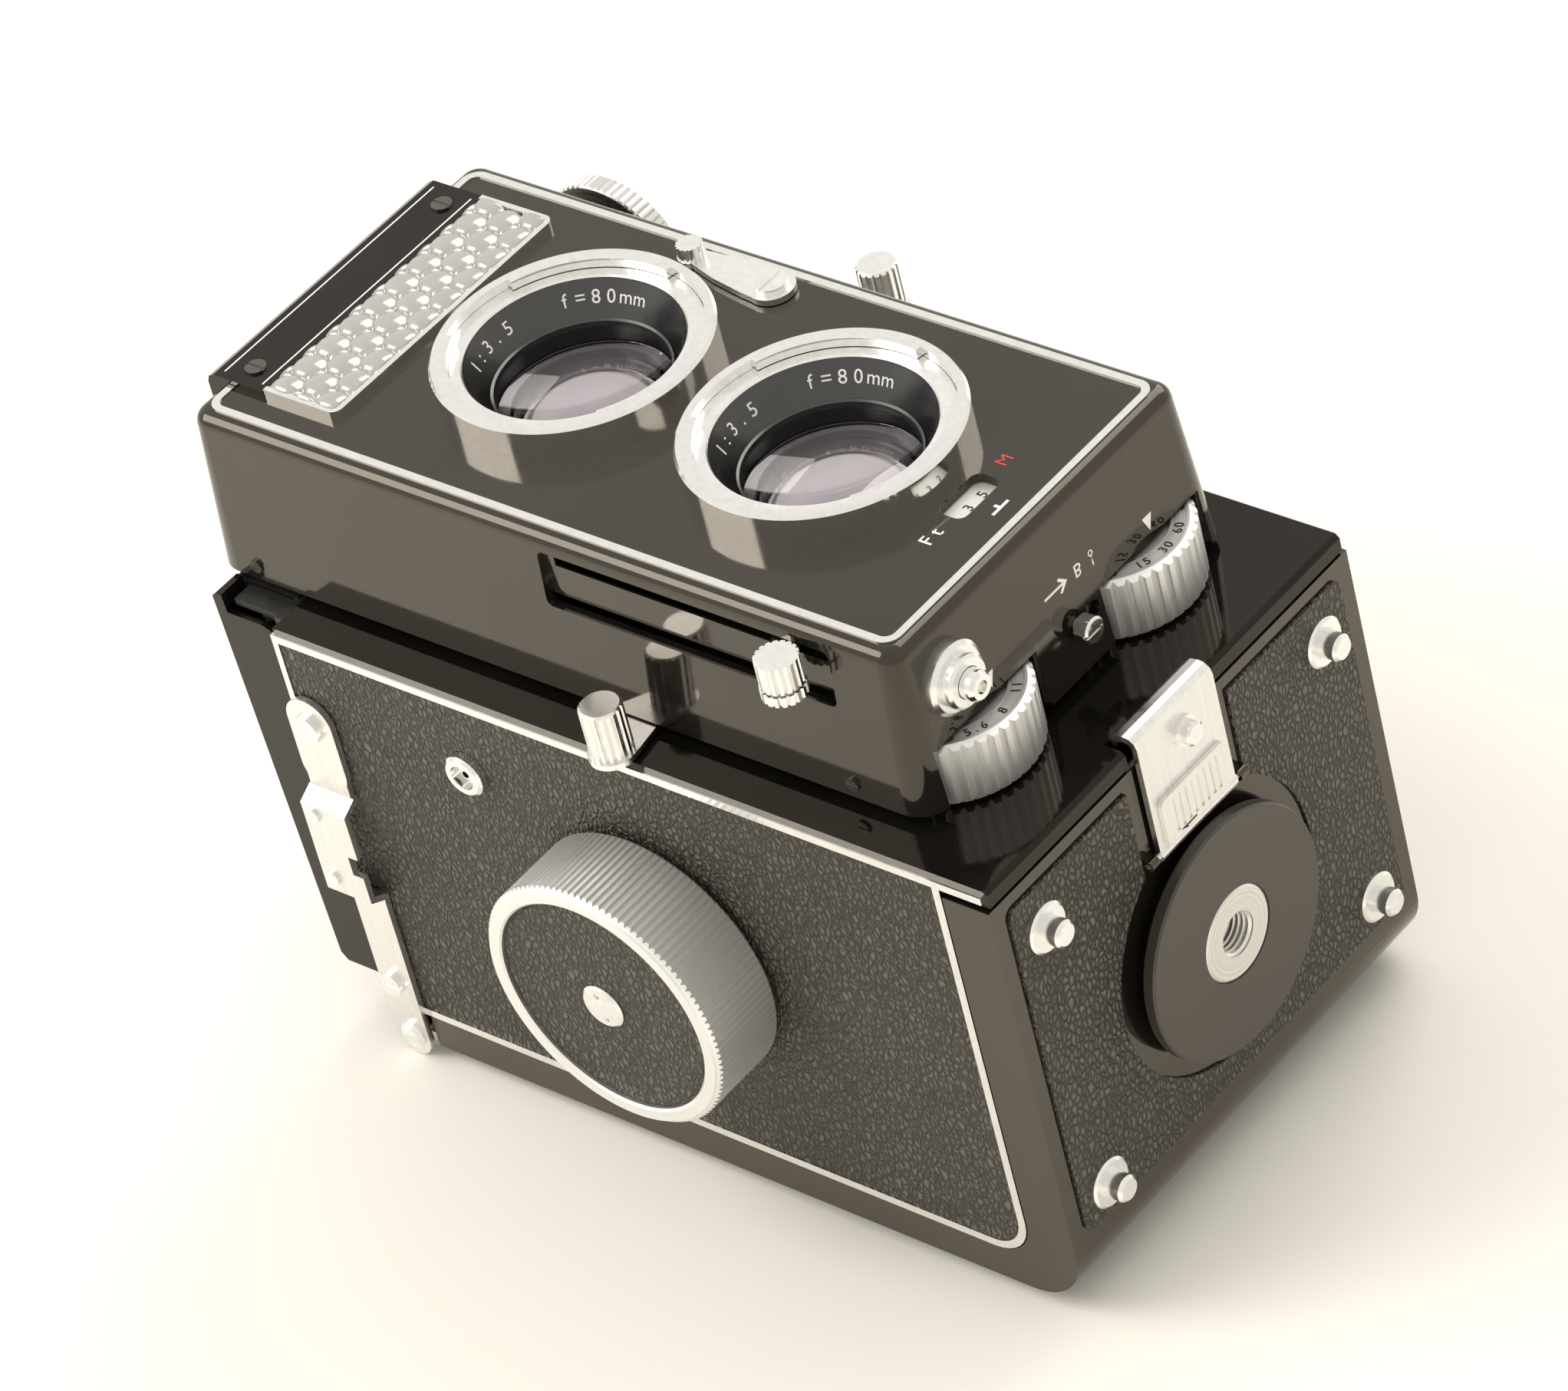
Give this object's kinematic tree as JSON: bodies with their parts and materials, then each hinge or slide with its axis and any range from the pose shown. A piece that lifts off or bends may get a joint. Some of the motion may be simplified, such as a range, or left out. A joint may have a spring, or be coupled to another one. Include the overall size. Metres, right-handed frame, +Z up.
{
  "type": "twin lens reflex camera",
  "caption": "Twin lens reflex roll film camera: upright box body, focusing lens panel, folding viewing hood, side winding knob, hinged back and base with tripod socket.",
  "frame": {"origin": "centre of the mouth of the tripod socket under the base", "axes": "+Z up towards the viewing hood, -Y the way the lenses look, +X to the right as seen from the front, away from the winding knob"},
  "size_m": [0.1052, 0.1046, 0.1406],
  "materials": {
    "black_enamel": "gloss black enamel",
    "matte_black": "matte black",
    "bright_metal": "satin chrome",
    "spun_metal": "turned aluminium",
    "leatherette": "pebbled leatherette",
    "steel": "brushed",
    "brass_part": "machined",
    "coated_glass": "coated, polished",
    "clear_plastic": "moulded clear",
    "screen_glass": "ground",
    "silvered": "front silvered",
    "spool_black": "moulded black",
    "scale_plate": "printed plate"
  },
  "bodies": {
    "camera_body": {"body_casting": "black_enamel", "side_trims": "bright_metal", "side_leathers": "leatherette", "dark_chamber": "matte_black", "reflex_mirror": "silvered", "focusing_screen": "screen_glass", "hood_base": "black_enamel", "strap_brackets": "bright_metal", "bracket_screws": "bright_metal", "sync_socket": "bright_metal", "hinge_pin": "steel", "focus_pivot": "steel"},
    "lens_standard": {"front_panel": "black_enamel", "lens_board": "matte_black", "panel_trim": "bright_metal", "nameplate": "black_enamel", "panel_screws": "steel", "cell_frame": "bright_metal", "cell_window": "clear_plastic", "bayonet_rings": "bright_metal", "lens_barrels": "matte_black", "front_elements": "coated_glass", "shutter_housing": "matte_black", "release_collar": "bright_metal"},
    "shutter_release": {"release_button": "bright_metal"},
    "cocking": {"cocking_lever": "bright_metal"},
    "aperture_control": {"aperture_wheel": "black_enamel"},
    "speed_control": {"speed_wheel": "black_enamel"},
    "bulb_control": {"bulb_lock": "bright_metal"},
    "sync_control": {"sync_lever": "bright_metal"},
    "film_dial": {"film_speed_dial": "bright_metal"},
    "scale_slide": {"distance_scale": "scale_plate"},
    "focus_control": {"focus_lever": "bright_metal", "focus_knobs": "bright_metal"},
    "winding": {"advance_knob": "spun_metal", "knob_leather": "leatherette", "knob_cap": "bright_metal", "winding_shaft": "steel"},
    "takeup": {"spool_gear": "brass_part", "takeup_spool": "spool_black"},
    "supply": {"supply_spool": "spool_black"},
    "upper_pull": {"spool_knob_upper": "spun_metal"},
    "lower_pull": {"spool_knob_lower": "spun_metal"},
    "hood_cover": {"hood_lid": "black_enamel"},
    "flap_wind": {"hood_flap_wind": "matte_black"},
    "flap_plain": {"hood_flap_plain": "matte_black"},
    "flap_rear": {"hood_flap_rear": "matte_black"},
    "magnifier": {"magnifier_frame": "matte_black", "magnifier_lens": "coated_glass"},
    "back_cover": {"back_shell": "black_enamel", "base_shell": "black_enamel", "back_leather": "leatherette", "base_leather": "leatherette", "feet": "bright_metal", "tripod_plate": "spun_metal", "tripod_bushing": "steel", "pressure_plate": "matte_black", "pressure_springs": "steel"},
    "base_latch": {"latch_plate": "bright_metal"},
    "latch_lock": {"latch_slide": "bright_metal"}
  },
  "joints": [
    {"name": "cover_hinge", "type": "hinge", "parent": "camera_body", "child": "back_cover", "pos_m": [0, 0.0333, 0.1194], "axis": [1, 0, 0], "range_deg": [0, 100]},
    {"name": "latch_hinge", "type": "hinge", "parent": "back_cover", "child": "base_latch", "pos_m": [0, -0.0189, 0.00265], "axis": [1, 0, 0], "range_deg": [0, 14], "stiffness_Nm_per_rad": 0.02},
    {"name": "latch_lock_slide", "type": "slide", "parent": "base_latch", "child": "latch_lock", "axis": [-1, 0, 0], "range_m": [0, 0.0025]},
    {"name": "focus_pivot_hinge", "type": "hinge", "parent": "camera_body", "child": "focus_control", "pos_m": [0, -0.0372, 0.0743], "axis": [0, 1, 0], "range_deg": [0, 32]},
    {"name": "focus_slide", "type": "slide", "parent": "camera_body", "child": "lens_standard", "axis": [0, -1, 0], "range_m": [0, 0.007]},
    {"name": "scale_travel", "type": "slide", "parent": "lens_standard", "child": "scale_slide", "axis": [1, 0, 0], "range_m": [0, 0.012]},
    {"name": "release_press", "type": "slide", "parent": "lens_standard", "child": "shutter_release", "axis": [0, 0, 1], "range_m": [0, 0.003], "stiffness_N_per_m": 300},
    {"name": "cocking_hinge", "type": "hinge", "parent": "lens_standard", "child": "cocking", "pos_m": [0, -0.0585, 0.05179], "axis": [0, 1, 0], "range_deg": [0, 55], "stiffness_Nm_per_rad": 0.02, "springref_deg": -8.59},
    {"name": "aperture_turn", "type": "hinge", "parent": "lens_standard", "child": "aperture_control", "pos_m": [-0.0173, -0.0415, 0.0237], "axis": [0, 1, 0], "range_deg": [-40, 40]},
    {"name": "speed_turn", "type": "hinge", "parent": "lens_standard", "child": "speed_control", "pos_m": [0.0173, -0.0415, 0.0237], "axis": [0, 1, 0], "range_deg": [-70, 30]},
    {"name": "bulb_lock_slide", "type": "slide", "parent": "lens_standard", "child": "bulb_control", "axis": [1, 0, 0], "range_m": [0, 0.0025]},
    {"name": "sync_turn", "type": "hinge", "parent": "lens_standard", "child": "sync_control", "pos_m": [0.0232, -0.0635, 0.0795], "axis": [0, 1, 0], "range_deg": [-10, 0]},
    {"name": "film_dial_turn", "type": "hinge", "parent": "lens_standard", "child": "film_dial", "pos_m": [0.034, -0.0494, 0.1194], "axis": [1, 0, 0], "range_deg": [-75, 75]},
    {"name": "winding_turn", "type": "hinge", "parent": "camera_body", "child": "winding", "pos_m": [-0.045, -0.00402, 0.06443], "axis": [1, 0, 0], "continuous": true},
    {"name": "takeup_turn", "type": "hinge", "parent": "camera_body", "child": "takeup", "pos_m": [0, 0.015, 0.095], "axis": [1, 0, 0], "continuous": true},
    {"name": "supply_turn", "type": "hinge", "parent": "camera_body", "child": "supply", "pos_m": [0, -0.0145, 0.0181], "axis": [1, 0, 0], "continuous": true},
    {"name": "upper_pull_slide", "type": "slide", "parent": "camera_body", "child": "upper_pull", "axis": [1, 0, 0], "range_m": [0, 0.0055], "stiffness_N_per_m": 150},
    {"name": "lower_pull_slide", "type": "slide", "parent": "camera_body", "child": "lower_pull", "axis": [1, 0, 0], "range_m": [0, 0.0055], "stiffness_N_per_m": 150},
    {"name": "hood_hinge", "type": "hinge", "parent": "camera_body", "child": "hood_cover", "pos_m": [0, -0.0358, 0.1356], "axis": [1, 0, 0], "range_deg": [0, 90]},
    {"name": "flap_wind_hinge", "type": "hinge", "parent": "camera_body", "child": "flap_wind", "pos_m": [-0.0339, -0.0065, 0.1289], "axis": [0, -1, 0], "range_deg": [0, 90]},
    {"name": "flap_plain_hinge", "type": "hinge", "parent": "camera_body", "child": "flap_plain", "pos_m": [0.0339, -0.0065, 0.1289], "axis": [0, 1, 0], "range_deg": [0, 90]},
    {"name": "flap_rear_hinge", "type": "hinge", "parent": "camera_body", "child": "flap_rear", "pos_m": [0, 0.0259, 0.1275], "axis": [-1, 0, 0], "range_deg": [0, 90]},
    {"name": "magnifier_hinge", "type": "hinge", "parent": "hood_cover", "child": "magnifier", "pos_m": [0, -0.0028, 0.131], "axis": [-1, 0, 0], "range_deg": [0, 90]}
  ],
  "couplings": [
    {"joint": "focus_pivot_hinge", "follows": "focus_slide", "rad_per_m": 79.5},
    {"joint": "scale_travel", "follows": "focus_slide", "ratio": 1.7},
    {"joint": "takeup_turn", "follows": "winding_turn", "ratio": -2},
    {"joint": "flap_wind_hinge", "follows": "hood_hinge", "ratio": 1},
    {"joint": "flap_plain_hinge", "follows": "hood_hinge", "ratio": 1},
    {"joint": "flap_rear_hinge", "follows": "hood_hinge", "ratio": 1},
    {"joint": "magnifier_hinge", "follows": "hood_hinge", "ratio": 1}
  ]
}
